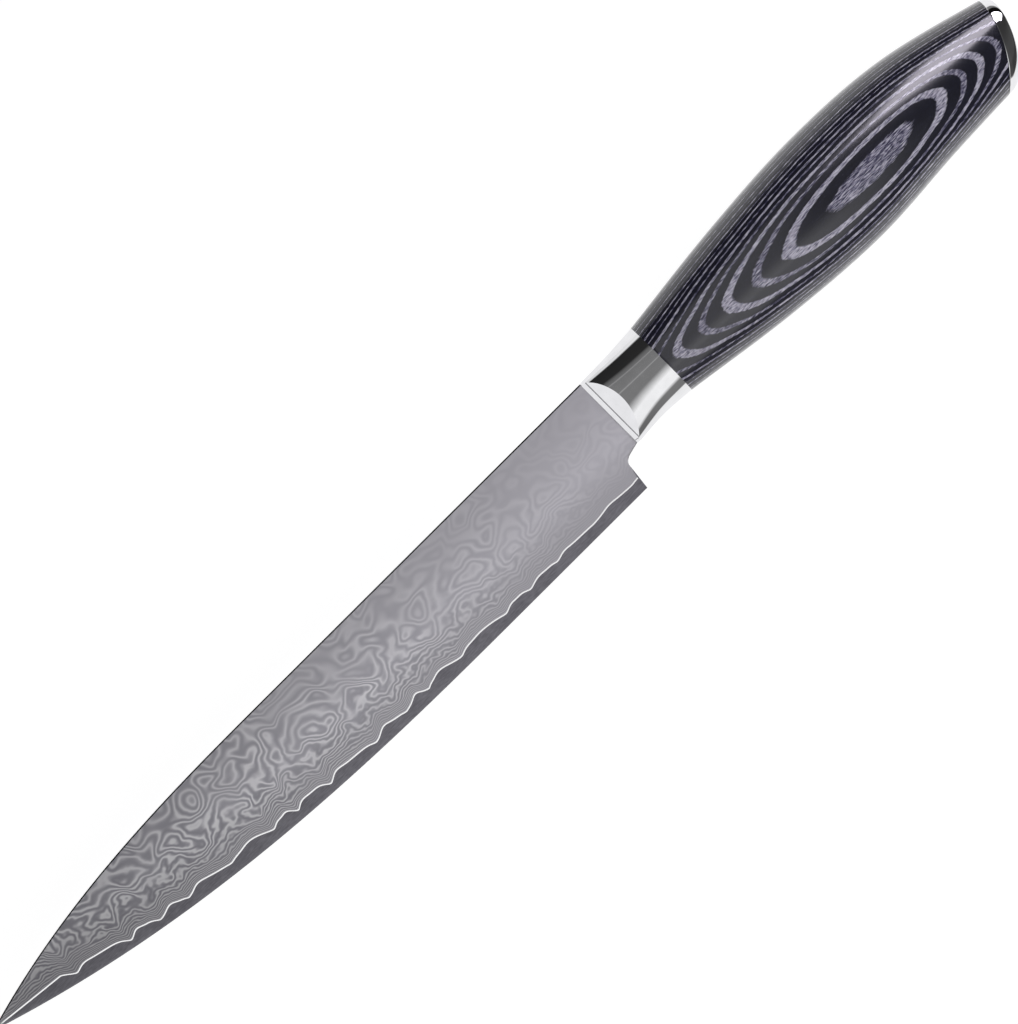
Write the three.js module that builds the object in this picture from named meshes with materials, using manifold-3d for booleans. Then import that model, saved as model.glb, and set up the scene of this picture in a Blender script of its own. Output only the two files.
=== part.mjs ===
// A slicing knife. The blade is hard core steel between two Damascus claddings. A polished bolster is
// welded to it, and a stick tang, bedded in resin, carries a grip of dyed laminated wood that a nut
// under the curved steel end cap draws up against the bolster.
//
// Millimetres. The knife lies on its side: +X runs from the tip to the butt, +Y from the cutting edge
// to the spine, and +Z up. While it is built, stations are measured along X from the front of the
// bolster and heights from the tang's axis. At the end the knife is set down on the origin.

import * as THREE from 'three';
import { mergeVertices } from 'three/addons/utils/BufferGeometryUtils.js';
import Module from 'manifold-3d';

// Blade profile, seen from the side
const BLADE_LENGTH = 199.5;
const BLADE_HEIGHT = 27.8;
const SPINE_RISE = 9.1;
const SPINE_STRAIGHT = 101.5;
const EDGE_STRAIGHT = 45;
const SPINE_CURVE_POWER = 2.9;
const EDGE_CURVE_POWER = 2.8;
const TIP_DROP = 10.1;
const TIP_WIDTH = 0.6;
const HEEL_SETBACK = 5.7;
const HEEL_LEAN = 0.7;
const HEEL_HEIGHT = 6.1;
const CHIN_FILLET = 2.1;
const NECK_DROP = 9.7;
const NECK_SLOPE = 0.25;

// Blade section: a flat grind from the spine to the edge, with the core laid bare along the edge
const SPINE_THICKNESS = 2;
const POINT_THICKNESS = 1;
const TAPER_START = 60;
const CORE_THICKNESS = 0.5;
const EDGE_THICKNESS = 0.1;
const BEVEL_WIDTH = 0.9;
const LAMINATION_RISE = 3;
const WAVE_HEIGHT = 0.5;
const WAVE_LENGTH = 8;
const SLOW_WAVE_HEIGHT = 0.3;
const SLOW_WAVE_LENGTH = 18.6;
const STRIP_NARROWING = 3;
const CLADDING_SETBACK = 1.5;

// Stub of the blade inside the bolster
const STUB_LENGTH = 8;
const STUB_HEIGHT = 10;
const STUB_THICKNESS = 1.2;
const STUB_ROOT = 1;

// Bolster
const BOLSTER_LENGTH = 17.4;
const BOLSTER_FRONT_SPINE_SIDE = 9.25;
const BOLSTER_FRONT_EDGE_SIDE = 10;
const BOLSTER_WAIST_HEIGHT = 18.9;
const BOLSTER_FRONT_THICKNESS = 7.8;
const LIP_WIDTH = 1.05;
const LIP_THICKNESS = 3.7;
const LIP_BEVEL = 0.73;
const CREASE = 0.15;
const LENS_SLOPE = THREE.MathUtils.degToRad(42);

// Tang, with a round threaded end
const TANG_HEIGHT = 6;
const TANG_THICKNESS = 5;
const THREAD_DIAMETER = 5;
const THREAD_PROUD = 2;

// Grip: length, butt curve, and its half height towards the spine, half height towards the edge and
// half thickness at six stations, given as shares of its length. The last lies behind the end cap.
const GRIP_LENGTH = 110;
const BUTT_RADIUS = 36;
const BUTT_CENTRE_RISE = 12;
const GRIP_STATIONS = [0, 0.267, 0.513, 0.75, 0.987, 1.037];
const GRIP_SPINE_SIDE = [10, 13.4, 15, 13.5, 7.3, 5.6];
const GRIP_EDGE_SIDE = [10, 14, 15.75, 14.15, 13.2, 13.2];
const GRIP_HALF_THICKNESS = [7.5, 9.98, 11.2, 10.95, 8.2, 7.6];

// Bore, bedding and fixing inside the grip
const BEDDING_WALL = 0.7;
const COUNTERBORE_DEPTH = 22;
const WASHER_DIAMETER = 11.4;
const WASHER_THICKNESS = 1;
const NUT_ACROSS_FLATS = 8;
const NUT_THICKNESS = 4;
const SHOULDER_RELIEF = 1;

// End cap
const CAP_CROWN_THICKNESS = 2.1;
const CAP_FACE_RADIUS = 31;
const CAP_FACE_CENTRE_RISE = 8.5;
const CAP_RIM_ROUND = 1.4;
const CAP_RIM_ROUND_BESIDE = 0.42;
const SPIGOT_WALL = 1;
const SPIGOT_CLEAR_OF_THREAD = 1.5;

// Clearances: solder round the stub and the tang, resin round the bedding, threads, glue under the cap
const SOLDER_GAP = 0.3;
const RESIN_GAP = 0.3;
const THREAD_GAP = 0.3;
const COUNTERBORE_GAP = 0.3;
const CAP_GLUE_LINE = 0.3;

// How finely curves are divided
const SIDES = 40;
const ROD_SIDES = 28;
const GRIP_RINGS = 26;
const PROFILE_STEPS = 24;
const WAVE_STEPS = 84;
const CHIN_STEPS = 6;
const COLLAR_RINGS = 8;
const ROUND_STEPS = 4;
const FACE_RINGS = 3;
const SEATING_ROUNDS = 6;
const OVERSHOOT = 1;

const wasm = await Module();
wasm.setup();

// Turn a closed geometry into a solid that can be joined and cut, and back again
function solid(geometry) {
  const bare = new THREE.BufferGeometry();
  bare.setAttribute('position', geometry.getAttribute('position'));
  bare.setIndex(geometry.getIndex());
  const merged = mergeVertices(bare);
  const corners = merged.getIndex().array;
  const triVerts = [];
  for (let i = 0; i < corners.length; i += 3) {
    const [a, b, c] = corners.slice(i, i + 3);
    if (a !== b && b !== c && c !== a) triVerts.push(a, b, c);
  }
  const mesh = new wasm.Mesh({
    numProp: 3,
    vertProperties: new Float32Array(merged.getAttribute('position').array),
    triVerts: new Uint32Array(triVerts),
  });
  return new wasm.Manifold(mesh);
}

function geometryOf(body) {
  const mesh = body.getMesh();
  const geometry = new THREE.BufferGeometry();
  geometry.setAttribute('position', new THREE.BufferAttribute(mesh.vertProperties, 3));
  geometry.setIndex(new THREE.BufferAttribute(mesh.triVerts, 1));
  geometry.computeVertexNormals();
  return geometry;
}

// A square bar and a round or hexagonal rod along X, both on the tang's axis
function bar(from, to, height, thickness) {
  const box = new THREE.BoxGeometry(to - from, height, thickness);
  return solid(box.translate((from + to) / 2, 0, 0));
}

function rod(from, to, radius, sides = ROD_SIDES) {
  const cylinder = new THREE.CylinderGeometry(radius, radius, to - from, sides);
  return solid(cylinder.rotateZ(-Math.PI / 2).translate((from + to) / 2, 0, 0));
}

// A turned blank whose points are moved to their places on an oval body. Each profile point is a share
// of the way out from the axis and a station along it.
function ovalBlank(profile, place) {
  const points = profile.map(([share, station]) => new THREE.Vector2(share, station));
  const geometry = new THREE.LatheGeometry(points, SIDES);
  const position = geometry.getAttribute('position');
  for (let i = 0; i < position.count; i++) {
    const [x, y, z] = place(position.getY(i), position.getZ(i), position.getX(i));
    position.setXYZ(i, x, y, z);
  }
  return solid(geometry);
}

// A smooth value along the knife through the given stations
function smooth(stations, values) {
  const curve = new THREE.CubicInterpolant(stations, values, 1);
  return (station) => curve.evaluate(station)[0];
}

// Blade outline. The spine and the edge are straight behind, then curve to the tip.
const halfTip = TIP_WIDTH / 2;
const edgeDrop = SPINE_RISE - BLADE_HEIGHT;

function towardsTip(x, straight, power) {
  return Math.max(0, (-x - straight) / (BLADE_LENGTH - straight)) ** power;
}

function spineAt(x) {
  return SPINE_RISE - (TIP_DROP - halfTip) * towardsTip(x, SPINE_STRAIGHT, SPINE_CURVE_POWER);
}

function edgeAt(x) {
  return edgeDrop + (BLADE_HEIGHT - TIP_DROP - halfTip) * towardsTip(x, EDGE_STRAIGHT, EDGE_CURVE_POWER);
}

// A strip along the edge keeps its width until the blade narrows to a few times that width
function aboveEdge(x, width) {
  const height = spineAt(x) - edgeAt(x);
  return edgeAt(x) + width * Math.min(1, height / (STRIP_NARROWING * width));
}

function bevelAt(x) {
  return aboveEdge(x, BEVEL_WIDTH);
}

function laminationAt(x) {
  const wave = WAVE_HEIGHT * Math.sin((2 * Math.PI * x) / WAVE_LENGTH);
  const slowWave = SLOW_WAVE_HEIGHT * Math.sin((2 * Math.PI * x) / SLOW_WAVE_LENGTH);
  return aboveEdge(x, LAMINATION_RISE + wave + slowWave);
}

function grindAt(x, y) {
  const taper = Math.max(0, (-x - TAPER_START) / (BLADE_LENGTH - TAPER_START));
  const spine = THREE.MathUtils.lerp(SPINE_THICKNESS, POINT_THICKNESS, taper) / 2;
  const share = (y - edgeAt(x)) / (spineAt(x) - edgeAt(x));
  return THREE.MathUtils.lerp(CORE_THICKNESS / 2, spine, share);
}

function bevelThicknessAt(x, y) {
  const share = (y - edgeAt(x)) / (bevelAt(x) - edgeAt(x));
  return THREE.MathUtils.lerp(EDGE_THICKNESS, CORE_THICKNESS, share) / 2;
}

function along(from, to, steps, heightAt) {
  const points = [];
  for (let i = 0; i <= steps; i++) {
    const x = THREE.MathUtils.lerp(from, to, i / steps);
    points.push(new THREE.Vector2(x, heightAt(x)));
  }
  return points;
}

function spineLine(end) {
  const straight = [0, -TAPER_START].map((x) => new THREE.Vector2(x, spineAt(x)));
  return [...straight, ...along(-SPINE_STRAIGHT, end, PROFILE_STEPS, spineAt)];
}

// The underside of the neck, from the bolster round the chin to the top of the heel
function neckLine() {
  const heelTop = new THREE.Vector2(HEEL_LEAN - HEEL_SETBACK, edgeDrop + HEEL_HEIGHT);
  const corner = new THREE.Vector2(heelTop.x, NECK_SLOPE * heelTop.x - NECK_DROP);
  const chin = new THREE.Vector2(corner.x + CHIN_FILLET, corner.y + NECK_SLOPE * CHIN_FILLET);
  const round = new THREE.QuadraticBezierCurve(chin, corner, heelTop);
  return [new THREE.Vector2(0, -NECK_DROP), ...round.getPoints(CHIN_STEPS)];
}

// A layer of the blade between two lines that run from the bolster to the tip, with the heights of its
// lower and upper faces at each point. Each face is filled from line to line, as it is ground.
function layer(upperLine, lowerLine, lowerAt, upperAt) {
  const points = [...upperLine, ...lowerLine];
  const upperFace = points.flatMap(({ x, y }) => [x, y, upperAt(x, y)]);
  const lowerFace = points.flatMap(({ x, y }) => [x, y, lowerAt(x, y)]);
  const lastUpper = upperLine.length - 1;
  const lastPoint = points.length - 1;
  const under = points.length;
  const triangles = [];

  let upper = 0;
  let lower = upperLine.length;
  while (upper < lastUpper || lower < lastPoint) {
    const stepLower = upper === lastUpper
      || (lower < lastPoint && points[lower + 1].x >= points[upper + 1].x);
    const next = stepLower ? lower + 1 : upper + 1;
    triangles.push(upper, next, lower, under + upper, under + lower, under + next);
    if (stepLower) lower = next;
    else upper = next;
  }

  const outline = points.keys().toArray();
  const ring = [...outline.slice(0, upperLine.length), ...outline.slice(upperLine.length).reverse()];
  ring.forEach((here, i) => {
    const next = ring[(i + 1) % ring.length];
    triangles.push(under + here, under + next, next, under + here, next, here);
  });

  const geometry = new THREE.BufferGeometry();
  geometry.setAttribute('position', new THREE.Float32BufferAttribute([...upperFace, ...lowerFace], 3));
  geometry.setIndex(triangles);
  return solid(geometry);
}

// Core: a flat sheet with a bevelled strip along the edge, and the middle of the stub
const coreFace = CORE_THICKNESS / 2;

function edgeLine(heightAt) {
  const heel = new THREE.Vector2(-HEEL_SETBACK, heightAt(-HEEL_SETBACK));
  return [heel, ...along(-EDGE_STRAIGHT, -BLADE_LENGTH, PROFILE_STEPS, heightAt)];
}

function bladeCore() {
  const bevelLine = edgeLine(bevelAt);
  const lower = [...neckLine(), ...bevelLine];
  const sheet = layer(spineLine(-BLADE_LENGTH), lower, () => -coreFace, () => coreFace);
  const bevel = layer(bevelLine, edgeLine(edgeAt), (x, y) => -bevelThicknessAt(x, y), bevelThicknessAt);
  const stub = bar(-STUB_ROOT, STUB_LENGTH, STUB_HEIGHT, CORE_THICKNESS);
  return geometryOf(sheet.add(bevel).add(stub));
}

// Claddings: from the core's face out to the flat grind, down to the wavy lamination line
const stubLayer = (STUB_THICKNESS - CORE_THICKNESS) / 2;

function damascusCladding(side) {
  const front = CLADDING_SETBACK - BLADE_LENGTH;
  const laminationLine = along(-HEEL_SETBACK, front, WAVE_STEPS, laminationAt);
  const lower = [...neckLine(), ...laminationLine];
  const inner = () => side * coreFace;
  const outer = (x, y) => side * grindAt(x, y);
  const faces = side > 0 ? [inner, outer] : [outer, inner];
  const sheet = layer(spineLine(front), lower, ...faces);
  const stub = new THREE.BoxGeometry(STUB_ROOT + STUB_LENGTH, STUB_HEIGHT, stubLayer);
  stub.translate((STUB_LENGTH - STUB_ROOT) / 2, 0, side * (coreFace + stubLayer / 2));
  return geometryOf(sheet.add(solid(stub)));
}

// Bolster: an oval collar as wide behind as the grip, cut back in front to two sloped faces that leave
// a thin lip against the blade, with a slot for the stub and a socket for the tang
const bolsterStations = [0, BOLSTER_LENGTH / 2, BOLSTER_LENGTH];
const bolsterSpineSide = smooth(bolsterStations, [
  BOLSTER_FRONT_SPINE_SIDE, BOLSTER_WAIST_HEIGHT / 2, GRIP_SPINE_SIDE[0],
]);
const bolsterEdgeSide = smooth(bolsterStations, [
  BOLSTER_FRONT_EDGE_SIDE, BOLSTER_WAIST_HEIGHT / 2, GRIP_EDGE_SIDE[0],
]);

function onBolster(station, up, out) {
  const half = up > 0 ? bolsterSpineSide(station) : bolsterEdgeSide(station);
  const share = station / BOLSTER_LENGTH;
  const thick = THREE.MathUtils.lerp(BOLSTER_FRONT_THICKNESS / 2, GRIP_HALF_THICKNESS[0], share);
  return [station, up * half, out * thick];
}

function bolster() {
  const profile = [[0, 0]];
  for (let i = 0; i <= COLLAR_RINGS; i++) profile.push([1, (BOLSTER_LENGTH * i) / COLLAR_RINGS]);
  profile.push([0, BOLSTER_LENGTH]);

  const lip = LIP_THICKNESS / 2;
  const foot = LIP_WIDTH + CREASE;
  const clear = GRIP_HALF_THICKNESS[0] + OVERSHOOT;
  const slopeEnd = foot + (clear - lip + CREASE) / Math.tan(LENS_SLOPE);
  const half = [
    [0, lip - LIP_BEVEL],
    [LIP_WIDTH, lip],
    [foot, lip - CREASE],
    [slopeEnd, clear],
    [BOLSTER_LENGTH, clear],
  ];
  const sideView = [...half, ...half.toReversed().map(([x, z]) => [x, -z])];
  const shape = new THREE.Shape(sideView.map(([x, z]) => new THREE.Vector2(x, z)));
  const width = 2 * (GRIP_SPINE_SIDE[0] + GRIP_EDGE_SIDE[0]);
  const cut = new THREE.ExtrudeGeometry(shape, { depth: width, bevelEnabled: false });
  cut.rotateX(Math.PI / 2).translate(0, width / 2, 0);

  const slot = bar(-OVERSHOOT, STUB_LENGTH, STUB_HEIGHT + 2 * SOLDER_GAP, STUB_THICKNESS + 2 * SOLDER_GAP);
  const socket = bar(
    STUB_LENGTH, BOLSTER_LENGTH + OVERSHOOT, TANG_HEIGHT + 2 * SOLDER_GAP, TANG_THICKNESS + 2 * SOLDER_GAP,
  );
  const collar = ovalBlank(profile, onBolster).intersect(solid(cut));
  return geometryOf(collar.subtract(slot.add(socket)));
}

// Grip: stations run from the flat front face to the curved butt, and on outwards through the cap
const gripFront = BOLSTER_LENGTH;
const gripStations = GRIP_STATIONS.map((share) => gripFront + share * GRIP_LENGTH);
const gripSpineSide = smooth(gripStations, GRIP_SPINE_SIDE);
const gripEdgeSide = smooth(gripStations, GRIP_EDGE_SIDE);
const gripHalfThickness = smooth(gripStations, GRIP_HALF_THICKNESS);

function onGrip(station, up, out) {
  const bend = Math.min(1, station / GRIP_LENGTH);
  const throughCap = Math.max(0, (station - GRIP_LENGTH) / CAP_CROWN_THICKNESS);
  const radius = THREE.MathUtils.lerp(BUTT_RADIUS, CAP_FACE_RADIUS, throughCap);
  const centreRise = THREE.MathUtils.lerp(BUTT_CENTRE_RISE, CAP_FACE_CENTRE_RISE, throughCap);
  let x = gripFront + station;
  let y = 0;
  for (let round = 0; round < SEATING_ROUNDS; round++) {
    y = up * (up > 0 ? gripSpineSide(x) : gripEdgeSide(x));
    const fallBack = radius - Math.sqrt(radius ** 2 - (y - centreRise) ** 2);
    x = gripFront + station - bend * fallBack;
  }
  return [x, y, out * gripHalfThickness(x)];
}

// Fixing: the washer seats on the floor of the counterbore, and the nut on the washer
const beddingRadius = Math.hypot(TANG_HEIGHT / 2, TANG_THICKNESS / 2) + RESIN_GAP + BEDDING_WALL;
const boreRadius = beddingRadius + RESIN_GAP;
const counterboreRadius = WASHER_DIAMETER / 2 + COUNTERBORE_GAP;
const counterboreFloor = gripFront + GRIP_LENGTH - COUNTERBORE_DEPTH;
const nutSeat = counterboreFloor + WASHER_THICKNESS;
const threadEnd = nutSeat + NUT_THICKNESS + THREAD_PROUD;
const tangShoulder = counterboreFloor - SHOULDER_RELIEF;
const buttEnd = gripFront + GRIP_LENGTH;
const capEnd = buttEnd + CAP_CROWN_THICKNESS;

// Rings across a curved face, from a share of the way out in to the axis
function faceRings(share, station) {
  const rings = [];
  for (let i = FACE_RINGS - 1; i >= 0; i--) rings.push([(share * i) / FACE_RINGS, station]);
  return rings;
}

// The grip's body from its front face to a curved end at the given station
function gripBlank(end) {
  const profile = [[0, 0]];
  for (let i = 0; i <= GRIP_RINGS; i++) profile.push([1, (end * i) / GRIP_RINGS]);
  profile.push(...faceRings(1, end));
  return ovalBlank(profile, onGrip);
}

function handle() {
  const bore = rod(gripFront - OVERSHOOT, counterboreFloor + OVERSHOOT, boreRadius);
  const counterbore = rod(counterboreFloor, buttEnd + OVERSHOOT, counterboreRadius);
  return geometryOf(gripBlank(GRIP_LENGTH).subtract(bore.add(counterbore)));
}

function tang() {
  const flat = bar(STUB_LENGTH, tangShoulder, TANG_HEIGHT, TANG_THICKNESS);
  const thread = rod(tangShoulder - OVERSHOOT, threadEnd, THREAD_DIAMETER / 2);
  return geometryOf(flat.add(thread));
}

function beddingResin() {
  const sleeve = rod(gripFront, tangShoulder, beddingRadius);
  const room = bar(
    gripFront - OVERSHOOT, counterboreFloor, TANG_HEIGHT + 2 * RESIN_GAP, TANG_THICKNESS + 2 * RESIN_GAP,
  );
  return geometryOf(sleeve.subtract(room));
}

const threadHole = THREAD_DIAMETER / 2 + THREAD_GAP;

function tangWasher() {
  const disc = rod(counterboreFloor, nutSeat, WASHER_DIAMETER / 2);
  return geometryOf(disc.subtract(rod(counterboreFloor - OVERSHOOT, nutSeat + OVERSHOOT, threadHole)));
}

function tangNut() {
  const hexagon = rod(nutSeat, nutSeat + NUT_THICKNESS, NUT_ACROSS_FLATS / Math.sqrt(3), 6);
  return geometryOf(hexagon.subtract(rod(nutSeat - OVERSHOOT, threadEnd, threadHole)));
}

// End cap: a curved plate with a rim rounded more at its spine and edge than beside them, and a hollow
// spigot that fits in the counterbore
const meanHalf = (gripSpineSide(buttEnd) + gripEdgeSide(buttEnd)) / 2;
const capFaceShare = 1 - CAP_RIM_ROUND / meanHalf;
const capFaceShareBeside = 1 - CAP_RIM_ROUND_BESIDE / meanHalf;

function onCap(station, up, out) {
  const share = Math.hypot(up, out);
  const onRim = (1 - share) * (CAP_RIM_ROUND_BESIDE / CAP_RIM_ROUND);
  const widening = share > capFaceShare ? (1 - onRim) / share : capFaceShareBeside / capFaceShare;
  return onGrip(station, up, out * widening);
}

function endCap() {
  const inner = GRIP_LENGTH + CAP_GLUE_LINE;
  const outer = GRIP_LENGTH + CAP_CROWN_THICKNESS;
  const profile = [...faceRings(1, inner).reverse(), [1, inner]];
  for (let i = 0; i <= ROUND_STEPS; i++) {
    const turn = (Math.PI / 2) * (i / ROUND_STEPS);
    const inset = CAP_RIM_ROUND * (1 - Math.cos(turn));
    profile.push([1 - inset / meanHalf, outer - CAP_RIM_ROUND * (1 - Math.sin(turn))]);
  }
  profile.push(...faceRings(capFaceShare, outer));

  const spigotFront = threadEnd + SPIGOT_CLEAR_OF_THREAD;
  const spigotRadius = counterboreRadius - COUNTERBORE_GAP;
  const plate = ovalBlank(profile, onCap);
  const post = rod(spigotFront, capEnd, spigotRadius);
  const hollow = rod(spigotFront - OVERSHOOT, capEnd + OVERSHOOT, spigotRadius - SPIGOT_WALL);
  const underCap = gripBlank(GRIP_LENGTH + CAP_CROWN_THICKNESS / 2);
  return geometryOf(plate.add(post.subtract(hollow).intersect(underCap)));
}

const knife = new THREE.Group();

function addPiece(name, geometry, color, roughness, metalness) {
  const mesh = new THREE.Mesh(geometry, new THREE.MeshStandardMaterial({ color, roughness, metalness }));
  mesh.name = name;
  knife.add(mesh);
}

addPiece('blade_core', bladeCore(), 0x706f74, 0.35, 1);
addPiece('damascus_cladding_upper', damascusCladding(1), 0x96959a, 0.45, 1);
addPiece('damascus_cladding_lower', damascusCladding(-1), 0x96959a, 0.45, 1);
addPiece('bolster', bolster(), 0xc9c9cc, 0.12, 1);
addPiece('tang', tang(), 0x8b8b8e, 0.5, 1);
addPiece('bedding_resin', beddingResin(), 0xa88a52, 0.4, 0);
addPiece('handle', handle(), 0x33353d, 0.25, 0);
addPiece('tang_washer', tangWasher(), 0xa9a9ad, 0.4, 1);
addPiece('tang_nut', tangNut(), 0x9d9da1, 0.4, 1);
addPiece('end_cap', endCap(), 0xc9c9cc, 0.12, 1);

// Set the knife down with the middle of its underside at the origin
const box = new THREE.Box3().setFromObject(knife);
const middle = box.getCenter(new THREE.Vector3());
knife.position.set(-middle.x, -middle.y, -box.min.z);

export default knife;
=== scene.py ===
from math import cos, pi, radians, sin, sqrt

import bpy
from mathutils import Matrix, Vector


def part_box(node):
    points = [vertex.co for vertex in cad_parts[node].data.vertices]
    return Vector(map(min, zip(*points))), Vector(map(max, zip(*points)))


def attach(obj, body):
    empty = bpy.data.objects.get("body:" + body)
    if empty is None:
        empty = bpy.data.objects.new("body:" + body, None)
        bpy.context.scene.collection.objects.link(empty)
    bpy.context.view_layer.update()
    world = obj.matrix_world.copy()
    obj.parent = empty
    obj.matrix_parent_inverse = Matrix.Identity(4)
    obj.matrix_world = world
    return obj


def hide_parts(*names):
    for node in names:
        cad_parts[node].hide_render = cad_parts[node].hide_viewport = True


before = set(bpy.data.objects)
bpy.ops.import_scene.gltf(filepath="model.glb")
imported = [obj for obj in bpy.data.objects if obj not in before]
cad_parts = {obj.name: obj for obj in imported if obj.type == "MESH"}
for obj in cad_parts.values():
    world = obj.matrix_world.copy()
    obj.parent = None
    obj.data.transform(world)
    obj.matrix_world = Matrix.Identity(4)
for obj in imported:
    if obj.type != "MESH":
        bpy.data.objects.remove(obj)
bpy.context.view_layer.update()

# The blade's core is a thin sheet of plain hard steel. It runs from the stub in the bolster to the point
# and shows as the darker strip along the cutting edge, below the wavy line where the cladding ends.
# Sizes are in millimetres from the bolster's front, on the tang's axis.
MM = 0.001
bolster_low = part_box("bolster")[0]
tang_low, tang_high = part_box("tang")
FRONT = bolster_low.x
AXIS_Y = (tang_low.y + tang_high.y) / 2
AXIS_Z = (tang_low.z + tang_high.z) / 2

BLADE_LENGTH = 199.5
BLADE_HEIGHT = 27.8
SPINE_RISE = 9.1
SPINE_STRAIGHT = 101.5
SPINE_CURVE = 2.9
EDGE_STRAIGHT = 45
EDGE_CURVE = 2.8
TIP_DROP = 10.1
TIP_WIDTH = 0.6
HEEL_X = -5.7
HEEL_TOP = (-5.0, -12.6)
CHIN = (-5.0, -10.95)
NECK_DROP = 9.7
NECK_SAG = 0.72
NECK_END = -2.9
CORE_HALF = 0.25
EDGE_HALF = 0.05
BEVEL_WIDTH = 0.9
SPINE_EASE = 0.06
NECK_EASE = 0.05
NECK_EASE_DEPTH = 0.03
CORE_STEP = 1.0
STATION_CROWDING = 1.15
STUB_LENGTH = 8
STUB_RISE = 5
STUB_HALF = 0.6
STUB_EASE = 0.1
STUB_STEP_LENGTH = 0.001


def place(x, y, z):
    """A point given in millimetres from the bolster's front, on the tang's axis."""
    return Vector((FRONT + x * MM, AXIS_Y + y * MM, AXIS_Z + z * MM))


def blend(a, b, share):
    return a + (b - a) * min(1, max(0, share))


def towards_tip(x, start, power):
    return max(0, (-x - start) / (BLADE_LENGTH - start)) ** power


def spine_at(x):
    return SPINE_RISE - (TIP_DROP - TIP_WIDTH / 2) * towards_tip(x, SPINE_STRAIGHT, SPINE_CURVE)


def edge_at(x):
    rise = BLADE_HEIGHT - TIP_DROP - TIP_WIDTH / 2
    return SPINE_RISE - BLADE_HEIGHT + rise * towards_tip(x, EDGE_STRAIGHT, EDGE_CURVE)


def above_edge(x, width):
    """A line at a given width above the edge, drawn in where the blade narrows."""
    return edge_at(x) + width * min(1, (spine_at(x) - edge_at(x)) / (3 * width))


def neck_line():
    """Lower line of the blade from the bolster round the chin to the top of the heel."""
    line = [(0, -NECK_DROP), (NECK_END / 2, -NECK_DROP - NECK_SAG / 2)]
    start = (NECK_END, -NECK_DROP - NECK_SAG)
    for step in range(11):
        t = step / 10
        line.append(tuple((1 - t) ** 2 * a + 2 * t * (1 - t) * b + t * t * c
                          for a, b, c in zip(start, CHIN, HEEL_TOP)))
    return line


def blade_stations(step):
    """Stations from the heel to the point, closer together where the outline turns."""
    length = BLADE_LENGTH + HEEL_X
    count = int(length / step)
    return [HEEL_X - length * (1 - (1 - i / count) ** STATION_CROWDING) for i in range(count + 1)]


def rolled(name, rings, closed=False, crease=28):
    """Roll a grid into a skin with one ring of points for each row, and draw its ends together."""
    if closed:
        rings = rings + [rings[0]]
    else:
        rings = [[sum(rings[0], Vector()) / len(rings[0])] * len(rings[0])] + rings
        rings = rings + [[sum(rings[-1], Vector()) / len(rings[-1])] * len(rings[-1])]
    sides = len(rings[0])
    bpy.ops.object.select_all(action="DESELECT")
    bpy.ops.mesh.primitive_grid_add(x_subdivisions=sides, y_subdivisions=len(rings) - 1, size=1)
    skin = bpy.context.object
    skin.name = name
    skin.data.name = name
    points = [ring[i % sides] for ring in rings for i in range(sides + 1)]
    skin.data.vertices.foreach_set("co", [value for point in points for value in point])
    bpy.ops.object.mode_set(mode="EDIT")
    bpy.ops.mesh.select_all(action="SELECT")
    bpy.ops.mesh.remove_doubles(threshold=0.001 * MM)
    bpy.ops.mesh.normals_make_consistent(inside=False)
    bpy.ops.object.mode_set(mode="OBJECT")
    bpy.ops.object.shade_smooth_by_angle(angle=radians(crease))
    return skin


def linear(code):
    """An sRGB hex colour as linear RGBA."""
    parts = [int(code[i:i + 2], 16) / 255 for i in (1, 3, 5)]
    return [c / 12.92 if c <= 0.04045 else ((c + 0.055) / 1.055) ** 2.4 for c in parts] + [1]


def new_material(name):
    material = bpy.data.materials.new(name)
    material.use_nodes = True
    tree = material.node_tree
    return material, tree, tree.nodes["Principled BSDF"]


def add_node(tree, kind, inputs, stops=(), **settings):
    """Add a node, set its properties and the stops of its ramp, then set or link its inputs."""
    node = tree.nodes.new(kind)
    for name, value in settings.items():
        setattr(node, name, value)
    for index, (position, colour) in enumerate(stops):
        if index == len(node.color_ramp.elements):
            node.color_ramp.elements.new(1)
        node.color_ramp.elements[index].position = position
        node.color_ramp.elements[index].color = colour
    for socket, value in inputs.items():
        if isinstance(value, bpy.types.NodeSocket):
            tree.links.new(value, node.inputs[socket])
        else:
            node.inputs[socket].default_value = value
    return node


def core_ring(x, low, half_low, bevel):
    spine = spine_at(x) if x <= 0 else STUB_RISE
    half = CORE_HALF if x <= 0 else STUB_HALF
    upper = [(low, half_low), (bevel, half), ((bevel + spine) / 2, half), (spine - SPINE_EASE, half),
             (spine, half - SPINE_EASE)]
    return [place(x, y, z) for y, z in upper] + [place(x, y, -z) for y, z in reversed(upper)]


core_rings = [core_ring(x, -STUB_RISE, STUB_HALF, -STUB_RISE + STUB_EASE)
              for x in (STUB_LENGTH, STUB_STEP_LENGTH)]
core_rings += [core_ring(x, y, CORE_HALF - NECK_EASE_DEPTH, y + NECK_EASE) for x, y in neck_line()]
core_rings += [core_ring(x, edge_at(x), EDGE_HALF, above_edge(x, BEVEL_WIDTH))
               for x in blade_stations(CORE_STEP)]
blade_core = rolled("blade_core", core_rings)

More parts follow.
